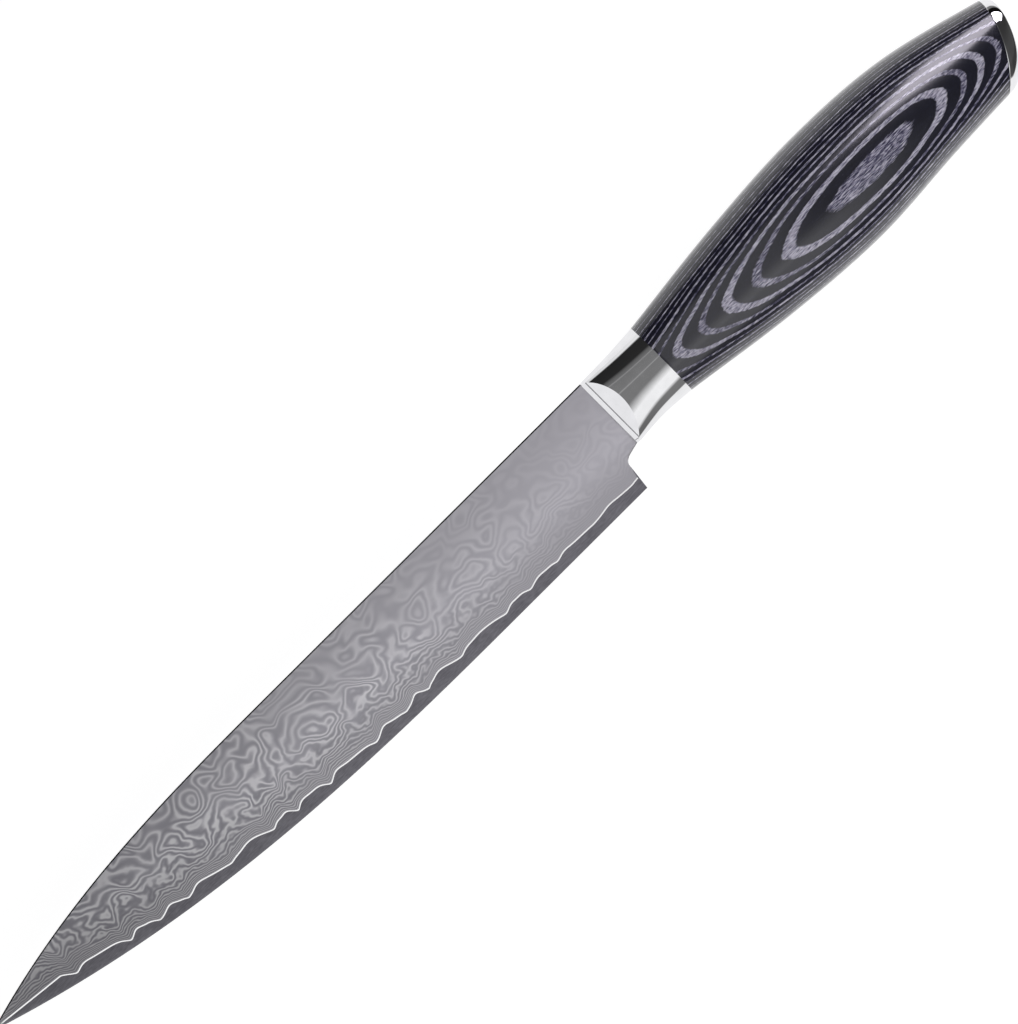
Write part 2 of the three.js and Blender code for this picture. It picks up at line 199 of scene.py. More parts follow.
# Satin ground core steel: even grey with faint grinding lines along the blade and tiny specks. The lines
# are 0.25 mm apart, coarser than the real ones, so that they show.
LINES_PER_METRE = (600, 4000, 4000)
CLOUDS_PER_METRE = 160
core_steel, tree, shader = new_material("core_steel")
coords = add_node(tree, "ShaderNodeTexCoord", {}).outputs["Object"]
grain = add_node(tree, "ShaderNodeMapping", {"Vector": coords, "Scale": LINES_PER_METRE}).outputs[0]
speck = add_node(tree, "ShaderNodeTexNoise", {"Vector": grain, "Scale": 1, "Detail": 2}).outputs["Fac"]
cloud = add_node(tree, "ShaderNodeTexNoise",
                 {"Vector": coords, "Scale": CLOUDS_PER_METRE, "Detail": 3}).outputs["Fac"]
tone = add_node(tree, "ShaderNodeMix", {"Factor": 0.4, "A": speck, "B": cloud}, data_type="FLOAT").outputs[0]
shade = add_node(tree, "ShaderNodeValToRGB", {"Fac": tone},
                 [(0.36, linear("#77767c")), (0.64, linear("#8f8e94"))])
tree.links.new(shade.outputs["Color"], shader.inputs["Base Color"])
shader.inputs["Metallic"].default_value = 1
shader.inputs["Roughness"].default_value = 0.42
blade_core.data.materials.append(core_steel)
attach(blade_core, "root")
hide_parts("blade_core")

# Each side of the core carries a cladding of Damascus steel: soft and hard layers forge-welded, hammered,
# ground to a taper and etched, so that the layers come out as fine lines and loops.
SPINE_THICKNESS = 2.0
POINT_THICKNESS = 1.0
TAPER_START = -60
WELD_GAP = 0.001
LAMINATION_RISE = 2.95
ARC_STEP = 3.3
ARC_HEIGHT = 1.5
ARC_MEAN = 0.68
ARC_POINT_ROUND = 0.012
ARC_DRIFT = 2.1
ARC_DRIFT_STEP = 6.1
ARC_JITTER = 0.7
ARC_JITTER_STEP = 2.3
SLOW_WAVE = 0.3
SLOW_WAVE_STEP = 9.7
FINE_WAVE = 0.16
FINE_WAVE_STEP = 0.9
CALM_START = -75
CALM_LENGTH = 45
CALM_SHARE = 0.4
SEAM_BEVEL = 0.32
SEAM_PROUD = 0.04
SPINE_CHAMFER = 0.34
SPINE_CHAMFER_DROP = 0.18
CLADDING_STEP = 0.4
CLADDING_CREASE = 6
BARE_POINT_STATIONS = 5
SIDE_SHIFT = 300
SIDE_LOW = -290


def lamination_at(x):
    """The wavy line where the cladding ends: uneven arcs that meet in points on the edge's side."""
    turn = x + ARC_DRIFT * sin(x / ARC_DRIFT_STEP) + ARC_JITTER * sin(x / ARC_JITTER_STEP + 1)
    arc = sqrt(sin(turn / ARC_STEP) ** 2 + ARC_POINT_ROUND)
    wave = ARC_HEIGHT * (arc - ARC_MEAN)
    wave = wave + SLOW_WAVE * sin(x / SLOW_WAVE_STEP + 2) + FINE_WAVE * sin(turn / FINE_WAVE_STEP)
    calm = blend(1, CALM_SHARE, (x - CALM_START) / CALM_LENGTH)
    return above_edge(x, LAMINATION_RISE + wave * calm)


def half_thickness(x, y):
    taper = (x - TAPER_START) / (-BLADE_LENGTH - TAPER_START)
    spine = blend(SPINE_THICKNESS, POINT_THICKNESS, taper) / 2
    return blend(CORE_HALF, spine, (y - edge_at(x)) / (spine_at(x) - edge_at(x)))


def cladding_ring(x, low, side):
    spine = spine_at(x)
    foot = min(low + SEAM_BEVEL, blend(low, spine, 0.3))
    brow = max(spine - SPINE_CHAMFER, blend(low, spine, 0.7))
    rows = [blend(foot, brow, i / 3) for i in range(1, 4)]
    outer = [(low, CORE_HALF + WELD_GAP), (foot, half_thickness(x, foot) + SEAM_PROUD)]
    outer += [(y, half_thickness(x, y)) for y in rows]
    outer += [(spine, half_thickness(x, spine) - SPINE_CHAMFER_DROP), (spine, CORE_HALF + WELD_GAP)]
    return [place(x, y, side * z) for y, z in outer]


# The attribute holds millimetres along the blade, above the lamination line and below the spine. The lower
# side is shifted along, so that its pattern differs from the upper one.
damascus, tree, shader = new_material("damascus_steel")
for node, side in (("damascus_cladding_upper", 1), ("damascus_cladding_lower", -1)):
    rings = [cladding_ring(x, y, side) for x, y in neck_line()]
    rings += [cladding_ring(x, lamination_at(x), side)
              for x in blade_stations(CLADDING_STEP)[:-BARE_POINT_STATIONS]]
    cladding = rolled(node, rings, crease=CLADDING_CREASE)
    layers = cladding.data.attributes.new("layers", "FLOAT_VECTOR", "POINT")
    for index, vertex in enumerate(cladding.data.vertices):
        x = (vertex.co.x - FRONT) / MM
        y = (vertex.co.y - AXIS_Y) / MM
        start = lamination_at(min(x, HEEL_X))
        layers.data[index].vector = (x if side > 0 else x - SIDE_SHIFT, y - start, spine_at(min(x, 0)) - y)
    cladding.data.materials.append(damascus)
    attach(cladding, "root")
    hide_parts(node)

# Etched Damascus: fine lines crowd along the line where the core starts, then open into loops and eyes,
# and fade towards the spine and the heel. The seam at the weld to the core is painted near-white, a painted
# highlight for the light its small bevel catches.
WARPS_PER_MM = 0.1
WARP_REACH = 4.0
LOOPS_PER_MM = (0.105, 0.15, 0)
FOLDS_PER_MM = 0.34
FOLD_HEIGHT = 2.4
PATCHES_PER_MM = 0.11
CROWDED_LAYERS = 10.0
CROWDING_FALL = 0.3
LAYERS_PER_MM = 0.1
PLAIN_TONE = 0.52
layer_place = add_node(tree, "ShaderNodeAttribute", {}, attribute_name="layers").outputs["Vector"]
split = add_node(tree, "ShaderNodeSeparateXYZ", {"Vector": layer_place})
rise, below_spine = split.outputs["Y"], split.outputs["Z"]
along = add_node(tree, "ShaderNodeMath", {0: split.outputs["X"], 1: SIDE_LOW + SIDE_SHIFT, 2: SIDE_LOW},
                 operation="WRAP").outputs[0]
warp = add_node(tree, "ShaderNodeTexNoise",
                {"Vector": layer_place, "Scale": WARPS_PER_MM, "Detail": 1}).outputs["Color"]
warp = add_node(tree, "ShaderNodeVectorMath", {0: warp, 1: (0.5, 0.5, 0.5)}, operation="SUBTRACT").outputs[0]
warp = add_node(tree, "ShaderNodeVectorMath", {0: warp, "Scale": WARP_REACH}, operation="SCALE").outputs[0]
bent = add_node(tree, "ShaderNodeVectorMath", {0: layer_place, 1: warp}, operation="ADD").outputs[0]
bent = add_node(tree, "ShaderNodeMapping", {"Vector": bent, "Scale": LOOPS_PER_MM}).outputs[0]
dents = add_node(tree, "ShaderNodeTexNoise",
                 {"Vector": bent, "Scale": 1, "Detail": 0.8, "Roughness": 0.4}).outputs["Fac"]
dents = add_node(tree, "ShaderNodeMath", {0: dents, 1: 0.5}, operation="SUBTRACT").outputs[0]
open_up = add_node(tree, "ShaderNodeMapRange",
                   {"Value": rise, "From Min": 0, "From Max": 7, "To Min": 0.6, "To Max": 10}).outputs[0]
fall = add_node(tree, "ShaderNodeMath", {0: rise, 1: -CROWDING_FALL}, operation="MULTIPLY").outputs[0]
fall = add_node(tree, "ShaderNodeMath", {0: fall}, operation="EXPONENT").outputs[0]
crowd = add_node(tree, "ShaderNodeMath", {0: fall, 1: -CROWDED_LAYERS, 2: CROWDED_LAYERS},
                 operation="MULTIPLY_ADD").outputs[0]
steady = add_node(tree, "ShaderNodeMath", {0: rise, 1: LAYERS_PER_MM, 2: crowd},
                  operation="MULTIPLY_ADD").outputs[0]
folds = add_node(tree, "ShaderNodeTexNoise",
                 {"Vector": layer_place, "Scale": FOLDS_PER_MM, "Detail": 1}).outputs["Fac"]
folds = add_node(tree, "ShaderNodeMath", {0: folds, 1: 0.5}, operation="SUBTRACT").outputs[0]
fold_height = add_node(tree, "ShaderNodeMath", {0: rise, 1: fall}, operation="MULTIPLY").outputs[0]
fold_height = add_node(tree, "ShaderNodeMath", {0: fold_height, 1: FOLD_HEIGHT},
                       operation="MULTIPLY").outputs[0]
steady = add_node(tree, "ShaderNodeMath", {0: folds, 1: fold_height, 2: steady},
                  operation="MULTIPLY_ADD").outputs[0]
layer = add_node(tree, "ShaderNodeMath", {0: dents, 1: open_up, 2: steady},
                 operation="MULTIPLY_ADD").outputs[0]
swing = add_node(tree, "ShaderNodeMath", {0: layer, 1: 2 * pi}, operation="MULTIPLY").outputs[0]
swing = add_node(tree, "ShaderNodeMath", {0: swing}, operation="SINE").outputs[0]
band = add_node(tree, "ShaderNodeMapRange", {"Value": swing, "From Min": -1, "From Max": 1}).outputs[0]
fade_up = add_node(tree, "ShaderNodeMapRange",
                   {"Value": rise, "From Min": 9, "From Max": 21, "To Min": 1, "To Max": 0.55}).outputs[0]
fade_heel = add_node(tree, "ShaderNodeMapRange",
                     {"Value": along, "From Min": -170, "From Max": -12, "To Min": 1.35,
                      "To Max": 0.12}).outputs[0]
patch = add_node(tree, "ShaderNodeTexNoise",
                 {"Vector": layer_place, "Scale": PATCHES_PER_MM, "Detail": 1}).outputs["Fac"]
patch = add_node(tree, "ShaderNodeMapRange",
                 {"Value": patch, "From Min": 0.3, "From Max": 0.7, "To Min": 0.55,
                  "To Max": 1.15}).outputs[0]
strength = add_node(tree, "ShaderNodeMath", {0: fade_up, 1: fade_heel}, operation="MULTIPLY").outputs[0]
strength = add_node(tree, "ShaderNodeMath", {0: strength, 1: patch}, operation="MULTIPLY").outputs[0]
etched = add_node(tree, "ShaderNodeMix", {"Factor": strength, "A": PLAIN_TONE, "B": band},
                  data_type="FLOAT").outputs[0]
shade = add_node(tree, "ShaderNodeValToRGB", {"Fac": etched},
                 [(0, linear("#acabb2")), (0.3, linear("#bfbec4")), (0.62, linear("#d8d7db")),
                  (0.82, linear("#f0eff2")), (1, linear("#fafafb"))])
seam = add_node(tree, "ShaderNodeMapRange",
                {"Value": rise, "From Min": 0.26, "From Max": 0.4, "To Min": 1, "To Max": 0}).outputs[0]
# Painted highlight: the seam is painted near-white for the light that its bevel catches.
surface = add_node(tree, "ShaderNodeMix", {"Factor": seam, 6: shade.outputs["Color"], 7: linear("#fafafb")},
                   data_type="RGBA").outputs[2]

# The etch leaves the zone under the spine and the crowded lines a little duller, and the steel is painted
# darker towards the point as painted shade for the light falling off there. The seam and the spine's
# chamfer are glossy, the seam is not darkened, and it mirrors evenly along its waves.
# Painted shade: the steel is darkened towards the point.
painted_point_shade = add_node(tree, "ShaderNodeMapRange",
                      {"Value": along, "From Min": -190, "From Max": -110, "To Min": 0.8,
                       "To Max": 1}).outputs[0]
dull_spine = add_node(tree, "ShaderNodeMapRange",
                      {"Value": rise, "From Min": 10, "From Max": 22, "To Min": 1, "To Max": 0.8}).outputs[0]
dull_low = add_node(tree, "ShaderNodeMapRange",
                    {"Value": rise, "From Min": 2, "From Max": 9, "To Min": 0.8, "To Max": 1}).outputs[0]
dull_and_point_shade = add_node(tree, "ShaderNodeMath", {0: painted_point_shade, 1: dull_spine}, operation="MULTIPLY").outputs[0]
dull_and_point_shade = add_node(tree, "ShaderNodeMath", {0: dull_and_point_shade, 1: dull_low}, operation="MULTIPLY").outputs[0]
dull_and_point_shade = add_node(tree, "ShaderNodeMath", {0: dull_and_point_shade, 1: seam}, operation="MAXIMUM").outputs[0]
surface = add_node(tree, "ShaderNodeVectorMath", {0: surface, "Scale": dull_and_point_shade}, operation="SCALE").outputs[0]
on_spine = add_node(tree, "ShaderNodeMapRange",
                    {"Value": below_spine, "From Min": SPINE_CHAMFER, "From Max": 0.3}).outputs[0]
bright = add_node(tree, "ShaderNodeMath", {0: seam, 1: on_spine}, operation="MAXIMUM").outputs[0]
gloss = add_node(tree, "ShaderNodeMapRange", {"Value": bright, "To Min": 0.4, "To Max": 0.14}).outputs[0]
facing = add_node(tree, "ShaderNodeNewGeometry", {}).outputs["Normal"]
level_seam = add_node(tree, "ShaderNodeVectorMath", {0: facing, 1: (0, 1, 1)},
                      operation="MULTIPLY").outputs[0]
facing = add_node(tree, "ShaderNodeMix", {"Factor": seam, 4: facing, 5: level_seam},
                  data_type="VECTOR").outputs[1]
facing = add_node(tree, "ShaderNodeVectorMath", {0: facing}, operation="NORMALIZE").outputs[0]
tree.links.new(surface, shader.inputs["Base Color"])
tree.links.new(gloss, shader.inputs["Roughness"])
tree.links.new(facing, shader.inputs["Normal"])
shader.inputs["Metallic"].default_value = 1

# The bolster is one piece of polished stainless steel soldered round the blade's root. Its front is a
# narrow lip, two sloped faces with a curved outline rise from that lip, and the rest is an oval collar.
BOLSTER_LENGTH = 17.4
FRONT_SPINE_SIDE = 9.25
FRONT_EDGE_SIDE = 10
WAIST_SIDE = 9.45
REAR_SIDE = 10
FRONT_HALF_THICKNESS = 3.9
REAR_HALF_THICKNESS = 7.5
LIP_LENGTH = 1.05
LIP_HALF = 1.85
LIP_FRONT_HALF = 1.12
LIP_FRONT_SHARE = 0.985
LIP_STEP = 0.15
LENS_START = 1.2
LENS_HALF = 1.7
LENS_SLOPE = radians(42)
COLLAR_SIDES = 256
COLLAR_STEPS = 60
BOLSTER_CREASE = 6
SLOT_CLEARANCE = 0.1
SOCKET_RISE = 3.3
SOCKET_HALF = 2.8
CUT_PAST = 1


def smooth(stations, values, at):
    """A smooth value along the knife: cubic pieces through the given stations, straight at the ends."""
    i = min(max(k for k in range(len(stations)) if k == 0 or stations[k] <= at), len(stations) - 2)
    start, end = stations[i], stations[i + 1]
    before = i - 1 if i > 0 else i + 1
    after = i + 2 if i + 2 < len(stations) else i
    back = (end - start) / 2 / (start - stations[before])
    ahead = (end - start) / 2 / (stations[after] - end)
    p = (at - start) / (end - start)
    return (values[before] * (-back * p ** 3 + 2 * back * p ** 2 - back * p)
            + values[i] * ((1 + back) * p ** 3 - (1.5 + 2 * back) * p ** 2 + (back - 0.5) * p + 1)
            + values[i + 1] * (-(1 + ahead) * p ** 3 + (1.5 + ahead) * p ** 2 + 0.5 * p)
            + values[after] * (ahead * p ** 3 - ahead * p ** 2))


def collar_ring(x):
    stations = (0, BOLSTER_LENGTH / 2, BOLSTER_LENGTH)
    spine_side = smooth(stations, (FRONT_SPINE_SIDE, WAIST_SIDE, REAR_SIDE), x)
    edge_side = smooth(stations, (FRONT_EDGE_SIDE, WAIST_SIDE, REAR_SIDE), x)
    thick = blend(FRONT_HALF_THICKNESS, REAR_HALF_THICKNESS, x / BOLSTER_LENGTH)
    turns = [2 * pi * i / COLLAR_SIDES for i in range(COLLAR_SIDES)]
    return [place(x, (spine_side if cos(a) > 0 else edge_side) * cos(a), thick * sin(a)) for a in turns]


bolster = rolled("bolster", [collar_ring(blend(LENS_START, BOLSTER_LENGTH, i / COLLAR_STEPS))
                             for i in range(COLLAR_STEPS + 1)])
bpy.ops.object.mode_set(mode="EDIT")
for side in (1, -1):
    bpy.ops.mesh.select_all(action="SELECT")
    bpy.ops.mesh.bisect(plane_co=place(LENS_START, 0, side * LENS_HALF),
                        plane_no=(-sin(LENS_SLOPE), 0, side * cos(LENS_SLOPE)),
                        use_fill=True, clear_outer=True, threshold=0.0001 * MM)
bpy.ops.mesh.select_all(action="DESELECT")
bpy.ops.object.mode_set(mode="OBJECT")
for face in bolster.data.polygons:
    face.select = face.normal.x < -0.99
bpy.ops.object.mode_set(mode="EDIT")
bpy.ops.mesh.dissolve_faces()
bpy.ops.mesh.extrude_region_move(TRANSFORM_OT_translate={"value": (-LIP_STEP * MM, 0, 0)})
bpy.ops.transform.resize(value=(1, 1, LIP_HALF / LENS_HALF), center_override=place(0, 0, 0))
bpy.ops.mesh.extrude_region_move(TRANSFORM_OT_translate={"value": (-LIP_LENGTH * MM, 0, 0)})
bpy.ops.transform.resize(value=(1, LIP_FRONT_SHARE, LIP_FRONT_HALF / LIP_HALF),
                         center_override=place(0, 0, 0))
bpy.ops.object.mode_set(mode="OBJECT")

# The blade's stub sits in a slot cut from the front, and the tang in a socket cut from the rear.
slot_rise = STUB_RISE + SLOT_CLEARANCE
slot_half = STUB_HALF + SLOT_CLEARANCE
for name, start, end, rise, half in (
        ("slot", -CUT_PAST, STUB_LENGTH + CUT_PAST, slot_rise, slot_half),
        ("socket", STUB_LENGTH, BOLSTER_LENGTH + CUT_PAST, SOCKET_RISE, SOCKET_HALF)):
    bpy.ops.mesh.primitive_cube_add(size=2)
    cutter = bpy.context.object
    corners = [place(start if corner.co.x < 0 else end, rise * corner.co.y, half * corner.co.z)
               for corner in cutter.data.vertices]
    cutter.data.vertices.foreach_set("co", [value for corner in corners for value in corner])
    cut = bolster.modifiers.new(name, "BOOLEAN")
    cut.operation = "DIFFERENCE"
    cut.object = cutter
    bpy.ops.object.select_all(action="DESELECT")
    bpy.context.view_layer.objects.active = bolster
    bolster.select_set(True)
    bpy.ops.object.modifier_apply(modifier=name)
    bpy.data.objects.remove(cutter)
bpy.ops.object.shade_smooth_by_angle(angle=radians(BOLSTER_CREASE))

# Mirror polished stainless steel, with a faint unevenness left by the polishing wheel, about 3 mm across.
WHEEL_MARKS_PER_METRE = 350
polished, tree, shader = new_material("polished_steel")
coords = add_node(tree, "ShaderNodeTexCoord", {}).outputs["Object"]
wheel = add_node(tree, "ShaderNodeTexNoise",
                 {"Vector": coords, "Scale": WHEEL_MARKS_PER_METRE, "Detail": 2}).outputs["Fac"]
gloss = add_node(tree, "ShaderNodeMapRange",
                 {"Value": wheel, "From Min": 0.3, "From Max": 0.7, "To Min": 0.04,
                  "To Max": 0.065}).outputs[0]
shade = add_node(tree, "ShaderNodeValToRGB", {"Fac": wheel},
                 [(0.3, linear("#e2e2e4")), (0.7, linear("#e8e8ea"))])
tree.links.new(shade.outputs["Color"], shader.inputs["Base Color"])
tree.links.new(gloss, shader.inputs["Roughness"])
shader.inputs["Metallic"].default_value = 1
bolster.data.materials.append(polished)
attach(bolster, "root")
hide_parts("bolster")

# The tang is a plain steel bar from the bolster to a thread near the butt. The washer and the nut on that
# thread draw the grip against the bolster. All three are as machined and hidden in the grip.
DRAWN_LINES_PER_METRE = (150, 2500, 2500)
plain, tree, shader = new_material("plain_steel")
coords = add_node(tree, "ShaderNodeTexCoord", {}).outputs["Object"]
drawn = add_node(tree, "ShaderNodeMapping", {"Vector": coords, "Scale": DRAWN_LINES_PER_METRE}).outputs[0]
mill = add_node(tree, "ShaderNodeTexNoise", {"Vector": drawn, "Scale": 1, "Detail": 3}).outputs["Fac"]
shade = add_node(tree, "ShaderNodeValToRGB", {"Fac": mill},
                 [(0.3, linear("#8d8c8e")), (0.7, linear("#b0afb2"))])
tree.links.new(shade.outputs["Color"], shader.inputs["Base Color"])
shader.inputs["Metallic"].default_value = 1
shader.inputs["Roughness"].default_value = 0.38
for node in ("tang", "tang_washer", "tang_nut"):
    for slot in bpy.data.objects[node].material_slots:
        slot.material = plain

# The bedding is amber resin, poured round the tang before the nut is drawn up. It fills the grip's bore
# and is cloudy from the air stirred into it.
RESIN_CLOUDS_PER_METRE = 220
resin, tree, shader = new_material("bedding_resin")
coords = add_node(tree, "ShaderNodeTexCoord", {}).outputs["Object"]
cloud = add_node(tree, "ShaderNodeTexNoise",
                 {"Vector": coords, "Scale": RESIN_CLOUDS_PER_METRE, "Detail": 3}).outputs["Fac"]
shade = add_node(tree, "ShaderNodeValToRGB", {"Fac": cloud},
                 [(0.3, linear("#a1834c")), (0.7, linear("#b4965c"))])
tree.links.new(shade.outputs["Color"], shader.inputs["Base Color"])
shader.inputs["Roughness"].default_value = 0.45
shader.inputs["IOR"].default_value = 1.55
for slot in bpy.data.objects["bedding_resin"].material_slots:
    slot.material = resin

# The grip is one block of dyed wood veneers pressed with resin, bored for the tang and turned and sanded
# to a swelling oval, then polished. Its butt is cut to an arc that carries the end cap.
GRIP_LENGTH = 110
BUTT_RADIUS = 36
BUTT_CENTRE_RISE = 12
CAP_CROWN_THICKNESS = 2.1
CAP_FACE_RADIUS = 31
CAP_FACE_CENTRE_RISE = 8.5
GRIP_STATIONS = [share * GRIP_LENGTH for share in (0, 0.267, 0.513, 0.75, 0.987, 1.037)]
SPINE_SIDE = [10, 13.4, 15, 13.5, 7.3, 5.6]
EDGE_SIDE = [10, 14, 15.75, 14.15, 13.2, 13.2]
HALF_THICKNESS = [7.5, 9.98, 11.2, 10.95, 8.2, 7.6]
GRIP_SIDES = 144
GRIP_STEPS = 110
BORE_RADIUS = 5
COUNTERBORE_RADIUS = 6
COUNTERBORE_DEPTH = 22
COUNTERBORE_RIM = 2.2
SKIN_INSET = 0.01
FRONT_FACE_SHARE = 0.985
FRONT_EASE = 0.04
FRONT_EASE_LENGTH = 0.02
SKIN_START = 0.12
SKIN_STOP = 0.08
BUTT_FACE_SHARES = (0.992, 0.8)


def on_grip(station, up, out, inset=0, inset_beside=0):
    """A point of the grip's skin: the end face at full length bends to the butt's arc."""
    bend = min(1, station / GRIP_LENGTH)
    through_cap = max(0, (station - GRIP_LENGTH) / CAP_CROWN_THICKNESS)
    radius = blend(BUTT_RADIUS, CAP_FACE_RADIUS, through_cap)
    centre_rise = blend(BUTT_CENTRE_RISE, CAP_FACE_CENTRE_RISE, through_cap)
    x = station
    for _ in range(12):
        y = up * (smooth(GRIP_STATIONS, SPINE_SIDE if up > 0 else EDGE_SIDE, x) - inset)
        x = station - bend * (radius - sqrt(radius ** 2 - (y - centre_rise) ** 2))
    z = out * (smooth(GRIP_STATIONS, HALF_THICKNESS, x) - inset_beside)
    return place(BOLSTER_LENGTH + x, y, z)


def grip_ring(station, size=1, inset=0, inset_beside=0):
    turns = [2 * pi * i / GRIP_SIDES for i in range(GRIP_SIDES)]
    return [on_grip(station, size * cos(a), size * sin(a), inset, inset_beside) for a in turns]


def round_ring(x, radius):
    turns = [2 * pi * i / GRIP_SIDES for i in range(GRIP_SIDES)]
    return [place(BOLSTER_LENGTH + x, radius * cos(a), radius * sin(a)) for a in turns]


grip_rings = [round_ring(0, BORE_RADIUS), grip_ring(0, FRONT_FACE_SHARE),
              grip_ring(FRONT_EASE_LENGTH, 1, FRONT_EASE, FRONT_EASE)]
for i in range(GRIP_STEPS + 1):
    station = blend(SKIN_START, GRIP_LENGTH - SKIN_STOP, i / GRIP_STEPS)
    grip_rings.append(grip_ring(station, 1, SKIN_INSET, SKIN_INSET))
grip_rings += [grip_ring(GRIP_LENGTH, share) for share in BUTT_FACE_SHARES]
grip_rings += [round_ring(GRIP_LENGTH - COUNTERBORE_RIM, COUNTERBORE_RADIUS),
               round_ring(GRIP_LENGTH - COUNTERBORE_DEPTH, COUNTERBORE_RADIUS),
               round_ring(GRIP_LENGTH - COUNTERBORE_DEPTH, BORE_RADIUS)]
handle = rolled("handle", grip_rings, closed=True)

# Black and grey dyed veneers: the curved grip cuts the flat layers into long rings. The grey layers show
# the wood's fibres as fine light flecks, the black ones stay nearly even, and resin gives a soft polish.
# A black and a grey veneer together are 0.68 mm thick, and every second grey one is a little thinner. The
# grey veneers are painted darker near the block's middle layer, which comes out on the flanks where the grip
# slopes away from the top: painted shade, so the flanks are nearly black.
VENEER_PAIR = 0.68
VENEER_LEAN = (-0.001, -0.15, 1.0)
PAIRS_BELOW_AXIS = 200.88
WANDER_PER_MM = (0.03, 0.16, 0.16)
WANDER_HEIGHT = 0.42
FIBRES_PER_MM = (0.4, 4.2, 4.2)
FIBRE_FEATHER = 0.2
FLECKS_PER_MM = (0.6, 5.4, 5.4)
SECOND_THINNER = 0.16
FLANK_SHADE_DEPTH = 0.45
FULL_FLANK_SHADE_HEIGHT = 3.5
UNSHADED_HEIGHT = 9.5
wood, tree, shader = new_material("layered_wood")
coords = add_node(tree, "ShaderNodeTexCoord", {}).outputs["Object"]
local = add_node(tree, "ShaderNodeVectorMath", {0: coords, 1: place(0, 0, 0)},
                 operation="SUBTRACT").outputs[0]
local = add_node(tree, "ShaderNodeVectorMath", {0: local, "Scale": 1 / MM}, operation="SCALE").outputs[0]
wander = add_node(tree, "ShaderNodeMapping", {"Vector": local, "Scale": WANDER_PER_MM}).outputs[0]
wander = add_node(tree, "ShaderNodeTexNoise", {"Vector": wander, "Scale": 1, "Detail": 2}).outputs["Fac"]
height = add_node(tree, "ShaderNodeVectorMath", {0: local, 1: VENEER_LEAN},
                  operation="DOT_PRODUCT").outputs["Value"]
height = add_node(tree, "ShaderNodeMath", {0: wander, 1: WANDER_HEIGHT, 2: height},
                  operation="MULTIPLY_ADD").outputs[0]
level = add_node(tree, "ShaderNodeMath", {0: height, 1: 1 / VENEER_PAIR, 2: PAIRS_BELOW_AXIS},
                 operation="MULTIPLY_ADD").outputs[0]
fibre = add_node(tree, "ShaderNodeMapping", {"Vector": local, "Scale": FIBRES_PER_MM}).outputs[0]
fibre = add_node(tree, "ShaderNodeTexNoise",
                 {"Vector": fibre, "Scale": 1, "Detail": 4, "Roughness": 0.65}).outputs["Fac"]
level = add_node(tree, "ShaderNodeMath", {0: fibre, 1: FIBRE_FEATHER, 2: level},
                 operation="MULTIPLY_ADD").outputs[0]
turn = add_node(tree, "ShaderNodeMath", {0: level, 1: 2 * pi}, operation="MULTIPLY").outputs[0]
second = add_node(tree, "ShaderNodeMath", {0: turn, 1: 0.5, 2: pi}, operation="MULTIPLY_ADD").outputs[0]
second = add_node(tree, "ShaderNodeMath", {0: second}, operation="COSINE").outputs[0]
turn = add_node(tree, "ShaderNodeMath", {0: turn}, operation="COSINE").outputs[0]
turn = add_node(tree, "ShaderNodeMath", {0: second, 1: SECOND_THINNER, 2: turn},
                operation="MULTIPLY_ADD").outputs[0]
# Painted shade: the grey veneers are darkened near the block's middle layer, on the flanks of the grip.
depth = add_node(tree, "ShaderNodeMath", {0: height}, operation="ABSOLUTE").outputs[0]
depth = add_node(tree, "ShaderNodeMapRange",
                 {"Value": depth, "From Min": FULL_FLANK_SHADE_HEIGHT, "From Max": UNSHADED_HEIGHT, "To Min": FLANK_SHADE_DEPTH,
                  "To Max": 0}).outputs[0]
turn = add_node(tree, "ShaderNodeMath", {0: turn, 1: depth}, operation="SUBTRACT").outputs[0]
grey = add_node(tree, "ShaderNodeMapRange", {"Value": turn, "From Min": 0.3, "From Max": 0.6}).outputs[0]
fleck = add_node(tree, "ShaderNodeMapping", {"Vector": local, "Scale": FLECKS_PER_MM}).outputs[0]
fleck = add_node(tree, "ShaderNodeTexNoise", {"Vector": fleck, "Scale": 1, "Detail": 3}).outputs["Fac"]
fleck = add_node(tree, "ShaderNodeMix", {"Factor": 0.55, "A": fibre, "B": fleck},
                 data_type="FLOAT").outputs[0]
dye = add_node(tree, "ShaderNodeMapRange",
               {"Value": second, "From Min": -1, "From Max": 1, "To Min": -0.035, "To Max": 0.02}).outputs[0]
fleck = add_node(tree, "ShaderNodeMath", {0: fleck, 1: dye}, operation="ADD").outputs[0]
light = add_node(tree, "ShaderNodeValToRGB", {"Fac": fleck},
                 [(0.4, linear("#34324a")), (0.46, linear("#716e88")), (0.51, linear("#a6a2b8")),
                  (0.58, linear("#d6d2e2"))])
dark = add_node(tree, "ShaderNodeValToRGB", {"Fac": fibre},
                [(0.3, linear("#10101b")), (0.7, linear("#252537"))])
surface = add_node(tree, "ShaderNodeMix", {"Factor": grey, 6: dark.outputs[0], 7: light.outputs[0]},
                   data_type="RGBA").outputs[2]
tree.links.new(surface, shader.inputs["Base Color"])
shader.inputs["Roughness"].default_value = 0.24
shader.inputs["IOR"].default_value = 1.54
shader.inputs["Specular IOR Level"].default_value = 0.15
shader.inputs["Coat Weight"].default_value = 1
shader.inputs["Coat IOR"].default_value = 1.6
shader.inputs["Coat Roughness"].default_value = 0.16
handle.data.materials.append(wood)
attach(handle, "root")
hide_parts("handle")

